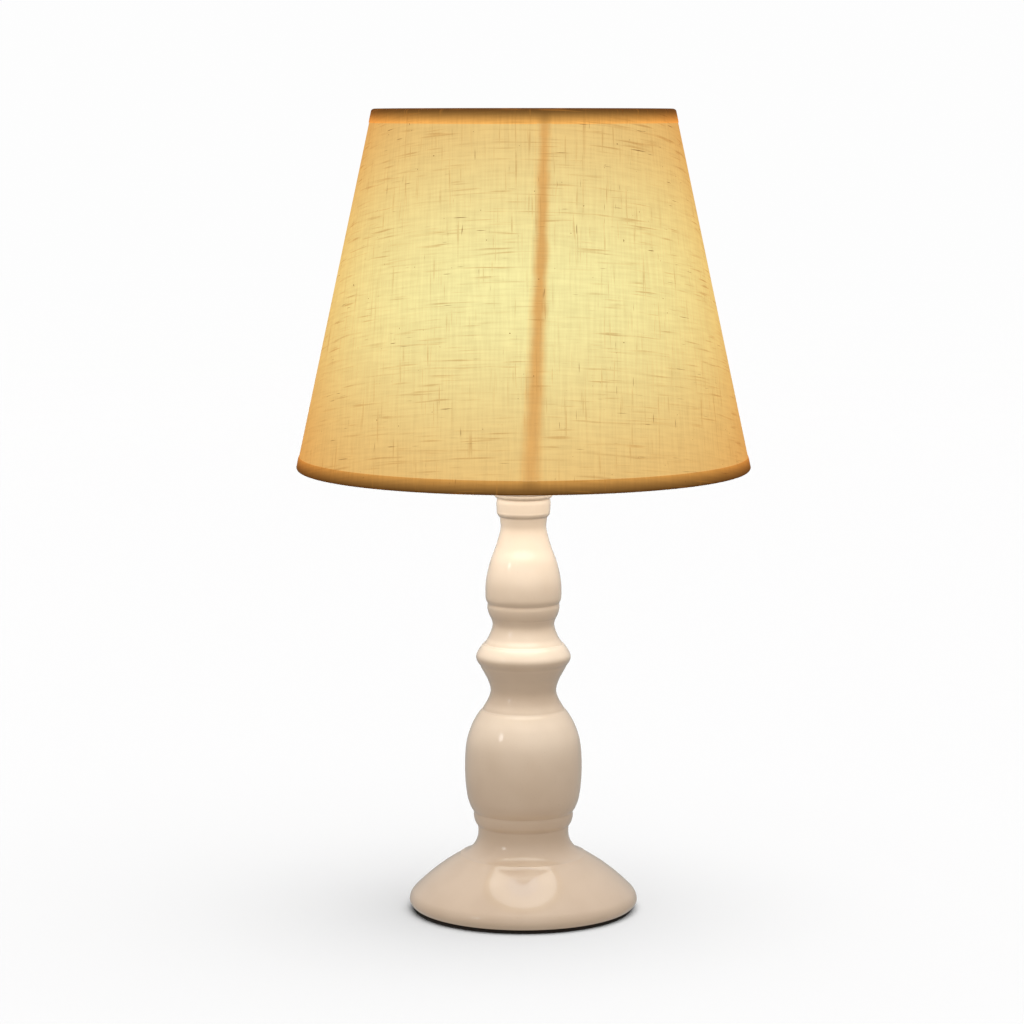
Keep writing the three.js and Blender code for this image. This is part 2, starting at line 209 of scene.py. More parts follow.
def put_on(finish, *pieces):
    """Give pieces of either kind their finish: a new piece's own, or a CAD node's object slot."""
    for piece in pieces:
        if not piece.material_slots:
            piece.data.materials.append(finish)
        piece.material_slots[0].link = "OBJECT"
        piece.material_slots[0].material = finish


def foam_finish():
    finish, shader, place = start_finish("black_foam", {
        "Roughness": 0.92, "Specular IOR Level": 0.25,
    })
    cells = place.noise(2600, 3, 0.7)
    Signal.feed(shader, {
        "Base Color": cells.ease(0.35, 0.7).mix(colour(22, 18, 15), colour(52, 45, 40)),
        "Normal": cells.bump(0.00015, 0.6),
    })
    return finish


pad_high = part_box("base_pad")[1]
PAD_RADIUS = pad_high[0] / MM
PAD_TOP = pad_high[2] / MM
PAD_PRESSED = 0.3
pad = turn("foam_pad", [
    (0, 0), (PAD_RADIUS - 0.5, 0), (PAD_RADIUS, 0.6), (PAD_RADIUS - 0.1, PAD_TOP + PAD_PRESSED),
    (0, PAD_TOP + PAD_PRESSED),
], 128)
put_on(foam_finish(), pad)
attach(pad, "stand")
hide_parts("base_pad")


# ---------------------------------------------------------------- foot and column
# Eight pieces of beech turned on a lathe, sprayed with a thick cream gloss lacquer and clamped
# on one threaded tube. The lacquer rounds every edge, so each joint is a soft, shallow crease.
BORE = 5.6
JOINT_DEPTH = 0.32
JOINT_REACH = 1.3
FINE_STEP = 0.35
CORD_HEIGHT = 8.5
CORD_HOLE = 4.6


def through(stations, steps=9):
    """A smooth outline through a few (radius, height) stations."""
    points = []
    for index in range(len(stations) - 1):
        around = [stations[min(max(index + k, 0), len(stations) - 1)] for k in (-1, 0, 1, 2)]
        a, b, c, d = (Vector(station) for station in around)
        for step in range(steps):
            t = step / steps
            bend = (2 * a - 5 * b + 4 * c - d) * t ** 2 + (3 * b - a - 3 * c + d) * t ** 3
            points.append(tuple((2 * b + (c - a) * t + bend) / 2))
    return points + [tuple(stations[-1])]


def arc(start, end, sag, steps=14):
    """A round outline from start to end that bows out by sag mm, or in if sag is negative."""
    start, end = Vector(start), Vector(end)
    chord = (end - start).length
    radius = (chord ** 2 / 4 + sag ** 2) / (2 * abs(sag))
    half = math.asin(chord / 2 / radius)
    along = (end - start) / chord
    out = Vector((along.y, -along.x)) * math.copysign(1, sag)
    points = []
    for step in range(steps + 1):
        angle = half * (2 * step / steps - 1)
        middle = (start + end) / 2 + along * radius * math.sin(angle)
        points.append(tuple(middle + out * radius * (math.cos(angle) - math.cos(half))))
    return points


def joined(outline, at_start=True, at_end=True, depth=JOINT_DEPTH):
    """An outline whose ends draw in a little, as lacquer leaves them where two pieces meet."""
    fine = [outline[0]]
    for start, end in zip(outline, outline[1:]):
        parts = max(1, math.ceil((Vector(end) - Vector(start)).length / FINE_STEP))
        fine += [tuple(Vector(start).lerp(Vector(end), part / parts))
                 for part in range(1, parts + 1)]
    ends = ([outline[0]] if at_start else []) + ([outline[-1]] if at_end else [])
    drawn = []
    for radius, height in fine:
        near = sum(math.exp(-((Vector((radius, height)) - Vector(end)).length / JOINT_REACH) ** 2)
                   for end in ends)
        drawn.append((radius - depth * near, height))
    return drawn


def lacquer_finish():
    finish, shader, place = start_finish("cream_lacquer", {
        "Roughness": 0.32, "Specular IOR Level": 0.4,
        "Coat Weight": 1.0, "Coat Roughness": 0.06, "Coat IOR": 1.6,
    })
    cloudy = place.noise(38, 2)
    peel = place.noise(620, 2)
    specks = place.noise(1900, 1).ease(0.735, 0.775)
    cream = cloudy.ease(0.3, 0.7).mix(colour(222, 197, 170), colour(228, 204, 178))
    Signal.feed(shader, {
        "Base Color": specks.mix(cream, colour(206, 178, 148)),
        "Normal": peel.bump(0.00004, 0.35),
    })
    return finish


cream_lacquer = lacquer_finish()
FLOOR_GAP = 0.3
cove = joined(arc((31.5, 27.8), (23.1, 42.6), -3.6, 24), at_start=False)
foot_outline = [
    *arc((PAD_RADIUS + 0.4, PAD_TOP + FLOOR_GAP), (57.3, 4.8), 0.4, 6),
    *arc((57.3, 4.8), (55.6, 9), 0.35, 6)[1:],
    *arc((55.6, 9), (33.1, 26.6), 1.0, 30)[1:],
    *through([(33.1, 26.6), (32.6, 26.95), (32.05, 27.35), (31.5, 27.8)], 4)[1:],
    *cove[1:],
    (BORE, 42.6),
    (BORE, 37),
    (18.5, 37),
    (28.5, 25.6),
    (44, 15.2),
    (52.2, 7.4),
    (53.2, PAD_TOP + FLOOR_GAP),
]
turned_outlines = {
    "foot_band": arc((23.4, 42.6), (25.1, 49.7), 0.45),
    "belly": through([(25.3, 49.7), (28, 57), (29.3, 70), (28.6, 84), (25.6, 94), (21.1, 101.6)]),
    "waist": through([(20.8, 101.6), (18, 106), (16.4, 111), (17.6, 116), (19.6, 120),
                      (22.1, 124.3)]),
    "middle_ring": through([(22.3, 124.3), (23.3, 126.4), (23.65, 128.3), (22.9, 130.6),
                            (20.3, 134.8)]),
    "spool": [*through([(19.8, 134.8), (17.4, 138.2), (15.4, 144), (16.2, 147.8)]),
              *arc((16.5, 148.2), (18.1, 155.3), 0.5)],
    "pear": through([(18.3, 155.3), (18.95, 159), (18.6, 167), (16.6, 176), (13.7, 184),
                     (11.5, 192), (11.5, 196), (12.2, 198.8)]),
    "neck_collar": [*arc((12.5, 198.8), (13.3, 201.4), 0.3, 8), (13.6, 207.7)],
}

foot = turn("turned_foot", [*foot_outline, foot_outline[0]], 160)
bpy.ops.mesh.primitive_cylinder_add(vertices=40, radius=CORD_HOLE * MM, depth=0.03,
                                    location=(0, 0.05, CORD_HEIGHT * MM),
                                    rotation=(math.pi / 2, 0, 0))
drill = bpy.context.object
modify(foot, "BOOLEAN", object=drill, operation="DIFFERENCE")
bpy.data.objects.remove(drill)
smooth()
put_on(cream_lacquer, foot)
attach(foot, "stand")
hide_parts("foot")

stand_pieces = [pad, foot]
for node, outline in turned_outlines.items():
    outline = joined(outline)
    bore = [(BORE, outline[-1][1]), (BORE, outline[0][1])]
    piece = turn("turned_" + node, [*outline, *bore, outline[0]], 128)
    put_on(cream_lacquer, piece)
    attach(piece, "stand")
    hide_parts(node)
    stand_pieces.append(piece)


# ---------------------------------------------------------------- column cap
# A shallow turned cup on top of the collar. It hides the nut that clamps the column, and the
# lampholder stands in it. A fine bead runs round it just above its rounded lower edge.
CAP_SEAT = 209.6
cap_outline = [
    (BORE, 207.7),
    *joined([(13.3, 207.7), *arc((13.35, 207.9), (14.6, 209.8), 0.35, 8)], at_end=False,
            depth=0.3),
    *arc((14.5, 210.1), (15.4, 212), 0.35, 8),
    (15.6, 213),
    (9.4, 213),
    (9.4, CAP_SEAT),
    (BORE, CAP_SEAT),
    (BORE, 207.7),
]
column_cap = turn("turned_cap", cap_outline, 96)
put_on(cream_lacquer, column_cap)
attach(column_cap, "stand")
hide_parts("column_cap")


# ---------------------------------------------------------------- tube, nuts, washer and weight
# The M10 tube runs from under the weight to the lampholder. A nut and a washer close it below, a
# thin nut above. The weight is grey iron as cast. All of it is hidden, and keeps its CAD shape.
def metal_finish(name, tint, dull, grain, metallic=1.0):
    """Plated or cast metal: grain is how many marks there are to the metre."""
    finish, shader, place = start_finish(name, {"Metallic": metallic})
    marks = place.noise(grain, 3, 0.65)
    dark = tuple(0.72 * channel for channel in tint[:3]) + (1.0,)
    Signal.feed(shader, {
        "Base Color": marks.ease(0.25, 0.75).mix(dark, tint),
        "Roughness": dull + 0.18 * marks,
        "Normal": marks.bump(0.00005, 0.4),
    })
    return finish


zinc_plate = metal_finish("zinc_plate", colour(196, 200, 204), 0.25, 900)
grey_iron = metal_finish("grey_iron", colour(92, 92, 95), 0.6, 420, 0.7)
put_on(zinc_plate, *(nodes[name] for name in ("threaded_tube", "base_nut", "base_washer",
                                              "column_nut")))
put_on(grey_iron, nodes["base_weight"])


# ---------------------------------------------------------------- cord bush and leads
# A black moulded bush in the back of the foot, where a mains cord comes in. The two leads behind
# it, brown and blue, run through the weight's channel and up the tube to their terminals.
def moulded_finish(name, tint, dull, texture=0.5, pits=1500):
    """Moulded plastic: spark-textured by an amount, or nearly smooth."""
    finish, shader, place = start_finish(name, {"Specular IOR Level": 0.45})
    grain = place.noise(pits, 3, 0.6)
    light = tuple(min(1.0, 1.12 * channel + 0.004) for channel in tint[:3]) + (1.0,)
    Signal.feed(shader, {
        "Base Color": grain.ease(0.3, 0.75).mix(tint, light),
        "Roughness": dull + 0.12 * grain,
        "Normal": grain.bump(0.00006, texture),
    })
    return finish


black_moulding = moulded_finish("black_moulding", colour(24, 24, 26), 0.42)
bush_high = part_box("cord_bush")[1]
bush_outline = [
    (3.3, 42),
    (5.6, 42),
    (5.6, 44),
    (4.45, 44),
    (4.45, 58),
    (5.4, 58),
    (5.4, 60),
    (4.7, bush_high[1] / MM),
    (3.3, bush_high[1] / MM),
    (3.3, 42),
]
bush = turn("moulded_bush", bush_outline, 48)
round_edges(bush, 0.3)
lay_down = Matrix.Rotation(-math.pi / 2, 4, "X")
bush.data.transform(Matrix.Translation((0, 0, CORD_HEIGHT * MM)) @ lay_down)
put_on(black_moulding, bush)
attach(bush, "stand")
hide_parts("cord_bush")

put_on(moulded_finish("brown_insulation", colour(98, 54, 32), 0.3, 0.1), nodes["lead_live"])
put_on(moulded_finish("blue_insulation", colour(40, 84, 160), 0.3, 0.1), nodes["lead_neutral"])


# ---------------------------------------------------------------- lampholder
# An edison-screw lampholder in black moulded plastic: a cap screwed on the tube, with a window on
# each side for the switch bar, and a shell with a shoulder and a coarse thread for the ring nut.
HOLDER_RADIUS = 19.2
THREAD_RADIUS = 19.4
THREAD_LOW, THREAD_HIGH = 246.6, 261.5
THREAD_TURNS = 7
WINDOW_SIZE = (0.06, 0.0064, 0.005)
WINDOW_HEIGHT = 0.231
cap_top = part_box("holder_cap")[1][2] / MM
shell_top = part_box("holder_shell")[1][2] / MM
shoulder = 245.2

holder_cap = turn("holder_cap_moulding", [
    (5.3, 213.2), (15, 213.2), (17.6, 217), (HOLDER_RADIUS, 224), (HOLDER_RADIUS, cap_top - 1.2),
    (HOLDER_RADIUS - 0.4, cap_top - 0.8), (HOLDER_RADIUS - 0.4, cap_top), (17.4, cap_top),
    (17.4, 219.5), (8.6, 219.5), (8.6, 216.5), (5.3, 216.5), (5.3, 213.2),
])
bpy.ops.mesh.primitive_cube_add(size=1, location=(0, 0, WINDOW_HEIGHT), scale=WINDOW_SIZE)
window = bpy.context.object
modify(holder_cap, "BOOLEAN", object=window, operation="DIFFERENCE")
bpy.data.objects.remove(window)
round_edges(holder_cap, 0.25)

thread = []
pitch = (THREAD_HIGH - THREAD_LOW) / THREAD_TURNS
for index in range(THREAD_TURNS):
    low = THREAD_LOW + (THREAD_HIGH - THREAD_LOW) * index / THREAD_TURNS
    thread += [(THREAD_RADIUS - 0.7, low + 0.1 * pitch), (THREAD_RADIUS, low + 0.45 * pitch),
               (THREAD_RADIUS, low + 0.65 * pitch)]
holder_shell = turn("holder_shell_moulding", [
    (17.4, 238.1), (HOLDER_RADIUS, 238.1), (HOLDER_RADIUS, 243.2), (22.6, 243.8), (22.6, shoulder),
    (THREAD_RADIUS - 0.7, shoulder), *thread, (18.6, shell_top), (14.8, shell_top), (14.8, 264.4),
    (17.4, 264.4), (17.4, 238.1),
])
round_edges(holder_shell, 0.25, 2)
for moulding, node in ((holder_cap, "holder_cap"), (holder_shell, "holder_shell")):
    put_on(black_moulding, moulding)
    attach(moulding, "stand")
    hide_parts(node)


# ---------------------------------------------------------------- contacts
# Inside the lampholder: a porcelain base, the pressed brass sleeve that takes the bulb's thread,
# the sprung centre contact, and the two brass terminals that the leads are screwed into.
pressed_brass = metal_finish("pressed_brass", colour(214, 176, 96), 0.2, 700)
put_on(pressed_brass, *(nodes[name] for name in ("screw_sleeve", "centre_contact", "terminal_live",
                                                 "terminal_neutral")))
bare_porcelain = moulded_finish("bare_porcelain", colour(236, 232, 222), 0.5, 0.3, 700)
put_on(bare_porcelain, nodes["contact_base"])


# ---------------------------------------------------------------- switch bar
# A white moulded bar that runs right through the lampholder's cap. Pushed at one end it switches
# the lamp on, at the other end off.
bar_low, bar_high = (Vector(corner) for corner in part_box("switch_bar"))
bpy.ops.mesh.primitive_cube_add(size=1, location=(bar_low + bar_high) / 2,
                                scale=bar_high - bar_low)
bar = bpy.context.object
bar.name = bar.data.name = "switch_bar_moulding"
bpy.ops.object.transform_apply(location=True, rotation=True, scale=True)
bpy.ops.object.mode_set(mode="EDIT")
for share in (0.04, 0.96):
    cut = bar_low.x + share * (bar_high.x - bar_low.x)
    bpy.ops.mesh.select_all(action="SELECT")
    bpy.ops.mesh.bisect(plane_co=(cut, 0, 0), plane_no=(1, 0, 0))
bpy.ops.object.mode_set(mode="OBJECT")
round_edges(bar, 0.7, 4)
put_on(moulded_finish("white_moulding", colour(238, 235, 226), 0.28, 0.12), bar)
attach(bar, "switch")
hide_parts("switch_bar")


# ---------------------------------------------------------------- bulb
# A candle bulb, 35 mm across, on a nickel-plated 27 mm screw cap. The glass is opal, so when it
# is lit the whole candle glows, less at its neck; four coated rods on a glass stem give the light.
GLOW_START, GLOW_FULL = 0.268, 0.300


def opal_finish():
    finish, shader, place = start_finish("opal_glass", {
        "Roughness": 0.35, "Emission Strength": 1.5,
        "Coat Weight": 0.6, "Coat Roughness": 0.05, "Coat Tint": (1.0, 0.86, 0.66, 1.0),
    })
    lit = place.part("Z").ease(GLOW_START, GLOW_FULL)
    cloud = place.noise(90, 2)
    Signal.feed(shader, {
        "Base Color": cloud.mix(colour(246, 240, 228), colour(253, 248, 238)),
        "Emission Color": lit.mix(colour(190, 132, 74), colour(255, 240, 206)),
    })
    return finish


def plain_glow(name, tint, strength):
    finish, shader, place = start_finish(name, {"Emission Strength": strength, "Roughness": 0.6})
    coat = place.noise(1800, 2)
    Signal.feed(shader, {
        "Base Color": coat.mix(tint, colour(255, 214, 140)),
        "Emission Color": coat.mix(tint, colour(255, 214, 140)),
    })
    return finish


GLASS_THICKNESS = 0.9
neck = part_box("bulb_glass")[0][2] / MM
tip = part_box("bulb_glass")[1][2] / MM
outside = through([(12.4, neck), (14.9, 278), (17.5, 291), (16.7, 305), (12.6, 322), (6.6, 336),
                   (2, tip - 1.4), (0, tip)], 7)
inside = [(max(radius - GLASS_THICKNESS, 0), height - 0.012 * (height - neck))
          for radius, height in reversed(outside)]
envelope = turn("opal_candle", [*outside, *inside, outside[0]], 72)
put_on(opal_finish(), envelope)
envelope.visible_shadow = False
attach(envelope, "bulb")
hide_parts("bulb_glass")

PITCH = 3.63
cap_base, cap_rim = (corner[2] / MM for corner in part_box("bulb_cap"))
ribs = []
for index in range(4):
    middle = 252 + index * PITCH
    ribs += arc((12.25, middle - PITCH / 2), (12.25, middle + PITCH / 2), 0.85, 8)[:-1]
bulb_cap = turn("screw_cap", [
    (11.2, cap_base), (12, cap_base), *ribs, (12.3, 265.5), (12.9, 266.6), (12.9, cap_rim),
    (11.2, cap_rim), (11.2, cap_base),
], 72)
nickel_plate = metal_finish("nickel_plate", colour(206, 206, 208), 0.14, 500)
put_on(nickel_plate, bulb_cap, nodes["bulb_tip"])
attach(bulb_cap, "bulb")
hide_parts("bulb_cap")

put_on(moulded_finish("fused_glass", colour(16, 16, 18), 0.12, 0.05), nodes["bulb_insulator"])
phosphor = plain_glow("phosphor", colour(255, 190, 96), 3.0)
put_on(phosphor, *(nodes[f"filament_{number}"] for number in (1, 2, 3, 4)))
stem_glass, stem_shader, stem_place = start_finish("stem_glass", {
    "Transmission Weight": 0.9, "Roughness": 0.05,
})
stem_noise = stem_place.noise(300, 1)
Signal.feed(stem_shader, {
    "Base Color": stem_noise.mix(colour(240, 246, 246), colour(250, 252, 252)),
})
put_on(stem_glass, nodes["bulb_stem"])


# ---------------------------------------------------------------- shade cloth
# One piece of slubbed plain-weave linen, cut as part of a ring and stretched round the liner. Its
# threads lie level at the seam and droop to both sides. Lit from inside, it glows pale yellow
# near the bulb and amber away from it, and thick threads show as short dark dashes.
shade_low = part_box("bottom_hem")[0][2] / MM
shade_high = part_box("top_hem")[1][2] / MM
RIM_RADIUS = 112.6
TOP_RADIUS = 74.2
TAPER = (RIM_RADIUS - TOP_RADIUS) / (shade_high - shade_low)
LEAN = math.atan(TAPER)
APEX = shade_low + RIM_RADIUS / TAPER
MID_RADIUS = (RIM_RADIUS + TOP_RADIUS) / 2
LIGHT_HEIGHT = 0.296
SEAM_TURNS = (0.02, 0.13)
LEAST_LIGHT, LIGHT_SPAN = 0.3, 0.8


def cone_radius(height):
    return RIM_RADIUS - TAPER * (height - shade_low)


def cone_wall(name, low, high, proud, around=192):
    """A bare wall of the shade's cone, from low to high, standing proud of it; all in mm."""
    bpy.ops.object.select_all(action="DESELECT")
    bpy.ops.mesh.primitive_cone_add(
        vertices=around, radius1=(cone_radius(low) + proud) * MM,
        radius2=(cone_radius(high) + proud) * MM, depth=(high - low) * MM,
        end_fill_type="NOTHING", location=(0, 0, (low + high) / 2 * MM))
    wall = bpy.context.object
    wall.name = wall.data.name = name
    bpy.ops.object.transform_apply(location=True, rotation=True, scale=True)
    return wall


def glow_level(z):
    """How much of the bulb's light the shade gets at a height: most where near and facing it."""
    rise = z - LIGHT_HEIGHT
    reach = (APEX * MM - z) * TAPER
    square = rise * rise + reach * reach
    facing = (reach * math.cos(LEAN) + rise * math.sin(LEAN)) / z.sum("SQRT", square)
    light = facing * (cone_radius(LIGHT_HEIGHT / MM) * MM) ** 2 / square
    return (light - LEAST_LIGHT) / LIGHT_SPAN


def linen_finish(name, hem=None):
    """Linen lit from behind. A hem, given as the height in mm of its rim and of its free edge and
    the strength of the light at its free edge, darkens towards its rim."""
    # Seen aslant, the light has further to go through the cloth and comes out more amber. The
    # coat's tint does that; with an index near 1 and a dull surface it adds no gloss.
    finish, shader, place = start_finish(name, {
        "Roughness": 0.95, "Specular IOR Level": 0.1, "Emission Strength": 1.0, "Coat Weight": 1.0,
        "Coat IOR": 1.1, "Coat Roughness": 1.0, "Coat Tint": (0.985, 0.79, 0.617, 1.0),
    })
    x, y, z = (place.part(axis) for axis in "XYZ")

    # Threads: the turn is followed round the shade and down is measured along its slope, both as
    # they were in the flat cloth, so that they droop to both sides.
    turn_angle = x.sum("ARCTAN2", x, 0 - y)
    slope = (APEX * MM - z) / math.cos(LEAN)
    down = slope * (1 - math.sin(LEAN) ** 2 * (1 - turn_angle.sum("COSINE", turn_angle)))
    middle_slope = MID_RADIUS * MM / math.sin(LEAN)
    slide = (slope - middle_slope) / middle_slope * turn_angle.sum("SINE", turn_angle)
    thread_turn = turn_angle + slide

    def threads(along, across, down_scale, low, high):
        """Marks in the cloth: noise stretched on the threads, 0 below low and 1 above high."""
        reach = MID_RADIUS * MM * along
        parts = {0: reach * x.sum("SINE", thread_turn),
                 1: reach * x.sum("COSINE", thread_turn) + across, 2: down * down_scale}
        return x.node("ShaderNodeCombineXYZ", {}, parts).noise(1, 1).ease(low, high)

    patch = place.noise(48, 2).ease(0.38, 0.62)
    weft = threads(70, 0, 900, 0.2, 0.8)
    warp = threads(900, 0, 60, 0.2, 0.8)
    weft_lines = threads(42, 3, 850, 0.57, 0.76)
    warp_lines = threads(850, 5, 48, 0.60, 0.78)
    weft_slubs = threads(75, 7, 1200, 0.73, 0.83)
    warp_slubs = threads(1200, 9, 90, 0.74, 0.84)
    specks = place.noise(520, 1).ease(0.77, 0.82)
    lines = x.sum("MAXIMUM", weft_lines, 0.85 * warp_lines) * (0.3 + 0.7 * patch)
    slubs = x.sum("MAXIMUM", weft_slubs, 0.9 * warp_slubs)
    slubs = x.sum("MAXIMUM", slubs, 0.8 * specks)

    reach = (APEX * MM - z) * TAPER
    level = glow_level(z) - 0.10 * (place.noise(22, 2) - 0.5)

    # The lap seam is two cloths thick, so a soft band of less light leans along it.
    share = (z - shade_low * MM) / ((shade_high - shade_low) * MM)
    seam_turn = SEAM_TURNS[0] + (SEAM_TURNS[1] - SEAM_TURNS[0]) * share
    waver = 0.0022 * (place.noise(110, 2) - 0.5)
    off_seam = x.sum("ABSOLUTE", turn_angle - seam_turn) * reach + waver
    seam = 1 - (off_seam / (1.7 - 0.8 * share)).ease(0.0004, 0.0043)

    glow = level.mix((0.46, 0.35, 0.135, 1), (0.61, 0.80, 0.49, 1))
    thick = (0.41, 0.25, 0.07, 1)
    bare_and_hem_shade = (0.50, 0.42, 0.23, 1)
    if hem:
        rim, free_edge, strength = hem
        from_rim = x.sum("MAXIMUM", (z - rim * MM) / ((free_edge - rim) * MM), 0.0)
        glow = x.sum("POWER", from_rim, 1.5).mix(
            (0, 0, 0, 1), (0.55 * strength, 0.35 * strength, 0.11 * strength, 1))
        thick = (0.05, 0.025, 0.005, 1)
        # Painted shade: the hem's base colour is darker than the same linen's elsewhere, for the
        # little light that gets through its folds.
        bare_and_hem_shade = (0.20, 0.12, 0.04, 1)
    glow = (seam * (0.3 if hem else 1.0)).mix(glow, thick)
    glow = (lines * 0.5).mix(glow, (0.28, 0.15, 0.03, 1))
    glow = (slubs * 0.85).mix(glow, (0.13, 0.055, 0.012, 1))
    yarn = 1 - 0.14 * (weft - 0.5) - 0.14 * (warp - 0.5)
    glow = x.node("ShaderNodeVectorMath", {"operation": "SCALE"}, {0: glow, "Scale": yarn})
    height = weft * 0.5 + warp * 0.5 + slubs * 0.5
    lined = (lines * 0.35).mix(bare_and_hem_shade, (0.28, 0.17, 0.06, 1))
    Signal.feed(shader, {
        "Base Color": (slubs * 0.8).mix(lined, (0.12, 0.055, 0.02, 1)),
        "Emission Color": glow,
        "Normal": height.bump(0.00018, 0.5),
    })
    return finish


CLOTH_THICKNESS = 0.5
CLOTH_BANDS = 24
cloth_low, cloth_high = shade_low + 1.0, shade_high - 1.0
cloth = cone_wall("linen_cloth", cloth_low, cloth_high, 0)
for band in range(1, CLOTH_BANDS):
    cut = cloth_low + (cloth_high - cloth_low) * band / CLOTH_BANDS
    bpy.ops.object.mode_set(mode="EDIT")
    bpy.ops.mesh.select_all(action="SELECT")
    bpy.ops.mesh.bisect(plane_co=(0, 0, cut * MM), plane_no=(0, 0, 1))
    bpy.ops.object.mode_set(mode="OBJECT")
modify(cloth, "SOLIDIFY", thickness=CLOTH_THICKNESS * MM, offset=-1.0)
smooth()
linen = linen_finish("slubbed_linen")
put_on(linen, cloth)
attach(cloth, "shade")
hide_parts("shade_cloth")


# ---------------------------------------------------------------- lap seam
# The cloth's two ends are glued one over the other. The upper end stands proud by its own
# thickness, and leans a little across the front as it goes up.
SEAM_WIDTH = 7.0
SEAM_PROUD = 0.2
SEAM_THICKNESS = 0.3
BACKWARDS = Vector((0, 1, 0))
seam_low, seam_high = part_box("lap_seam")[0][2] / MM - 1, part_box("lap_seam")[1][2] / MM + 1
seam_strip = cone_wall("cloth_lap", seam_low, seam_high, SEAM_PROUD, 384)
seam_foot, seam_head = (
    Vector((math.sin(azimuth), -math.cos(azimuth), 0)) * cone_radius(height) * MM
    + Vector((0, 0, height * MM))
    for azimuth, height in zip(SEAM_TURNS, (shade_low, shade_high)))
across_seam = (seam_head - seam_foot).cross(BACKWARDS).normalized()
half_width = across_seam * SEAM_WIDTH / 2 * MM
seam_cuts = ((seam_foot + half_width, across_seam), (seam_foot - half_width, -across_seam),
             (Vector(), BACKWARDS))
bpy.ops.object.mode_set(mode="EDIT")
for point, outwards in seam_cuts:
    bpy.ops.mesh.select_all(action="SELECT")
    bpy.ops.mesh.bisect(plane_co=point, plane_no=outwards, clear_outer=True)
bpy.ops.object.mode_set(mode="OBJECT")
modify(seam_strip, "SOLIDIFY", thickness=SEAM_THICKNESS * MM, offset=-1.0)
smooth()
put_on(linen, seam_strip)
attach(seam_strip, "shade")
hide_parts("lap_seam")


# ---------------------------------------------------------------- hems and wires
# At each rim a strip of the same linen is folded round a 2.4 mm wire and glued down inside and
# out. Four cloths and the wire let little light through, so the hems turn brown towards the rim.
HEM_HEIGHT = 6.8
HEM_PROUD = 0.3
HEM_INNER = 3.6
HEM_SQUASH = 0.8


def hem_outline(rim, free_edge):
    """The section of a hem: two legs and a round fold over the wire."""
    side = math.copysign(1, free_edge - rim)
    roll = (HEM_PROUD + HEM_INNER) / 2
    middle = rim + side * roll * HEM_SQUASH
    outer_leg = [(cone_radius(free_edge) + HEM_PROUD - 0.12, free_edge),
                 (cone_radius(free_edge - side * 0.5) + HEM_PROUD, free_edge - side * 0.5)]
    fold = []
    for step in range(13):
        angle = math.pi * step / 12
        radius = cone_radius(middle) + HEM_PROUD - roll + roll * math.cos(angle)
        fold.append((radius, middle - side * roll * HEM_SQUASH * math.sin(angle)))
    inner_leg = [(cone_radius(free_edge) - HEM_INNER, free_edge)]
    points = outer_leg + fold + inner_leg
    return points + [points[0]]


hems = []
for name, rim, free_edge, strength in (("bottom", shade_low, shade_low + HEM_HEIGHT, 1.0),
                                       ("top", shade_high, shade_high - HEM_HEIGHT, 1.65)):
    hem = turn(name + "_hem_fold", hem_outline(rim, free_edge), 192)
    put_on(linen_finish(name + "_hem_linen", (rim, free_edge, strength)), hem)
    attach(hem, "shade")
    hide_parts(name + "_hem")
    hems.append(hem)

slant = (cloth_high - cloth_low) * MM / math.cos(LEAN)
cut_area = math.pi * (cone_radius(cloth_low) + cone_radius(cloth_high)) * MM * slant
outer_cut = cone_radius(cloth_low) * MM / math.sin(LEAN)
half_cut = math.pi * math.sin(LEAN)
cut_width = 2 * outer_cut * math.sin(half_cut)
cut_length = outer_cut - (outer_cut - slant) * math.cos(half_cut)


# ---------------------------------------------------------------- liner
# A matt white laminate that the cloth is glued to. It gives the shade its stiffness, and inside
# the shade it is the bright wall round the bulb.
def liner_finish():
    finish, shader, place = start_finish("white_laminate", {
        "Roughness": 0.6, "Specular IOR Level": 0.3, "Emission Strength": 1.0,
    })
    grain = place.noise(900, 2)
    cloud = place.noise(30, 2)
    lit = glow_level(place.part("Z"))
    Signal.feed(shader, {
        "Base Color": cloud.mix(colour(238, 230, 208), colour(244, 237, 218)),
        "Emission Color": (lit - 0.2 * (cloud - 0.5)).mix((0.19, 0.15, 0.095, 1),
                                                          (0.47, 0.44, 0.33, 1)),
        "Normal": grain.bump(0.00004, 0.3),
    })
    return finish


GLUE_GAP = 0.4
LINER_THICKNESS = 0.5
liner = cone_wall("laminate_liner", cloth_low, cloth_high, -(CLOTH_THICKNESS + GLUE_GAP))
modify(liner, "SOLIDIFY", thickness=LINER_THICKNESS * MM, offset=-1.0)
smooth()
put_on(liner_finish(), liner)
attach(liner, "shade")
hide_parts("shade_liner")


# ---------------------------------------------------------------- carrier
# The shade hangs on a flat pressed ring that drops over the lampholder. Three wire arms, welded
# to it and to the bottom wire, carry it; all of it is dipped in white epoxy.
def epoxy_finish():
    finish, shader, place = start_finish("white_epoxy", {"Roughness": 0.3, "Coat Weight": 0.3})
    dimple = place.noise(700, 2)
    Signal.feed(shader, {
        "Base Color": dimple.mix(colour(232, 229, 220), colour(244, 242, 235)),
        "Normal": dimple.bump(0.00005, 0.5),
    })
    return finish


white_epoxy = epoxy_finish()
ring_low, ring_high = (corner[2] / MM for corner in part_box("carrier_ring"))
carrier = turn("pressed_ring", [
    (20.6, ring_low), (25.2, ring_low), (25.2, ring_high), (22.2, ring_high),
    (21.9, ring_high - 0.4), (20.6, ring_high - 0.4), (20.6, ring_low),
])
round_edges(carrier, 0.25, 2)
put_on(white_epoxy, carrier, nodes["bottom_wire"], nodes["top_wire"])
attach(carrier, "shade")
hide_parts("carrier_ring")

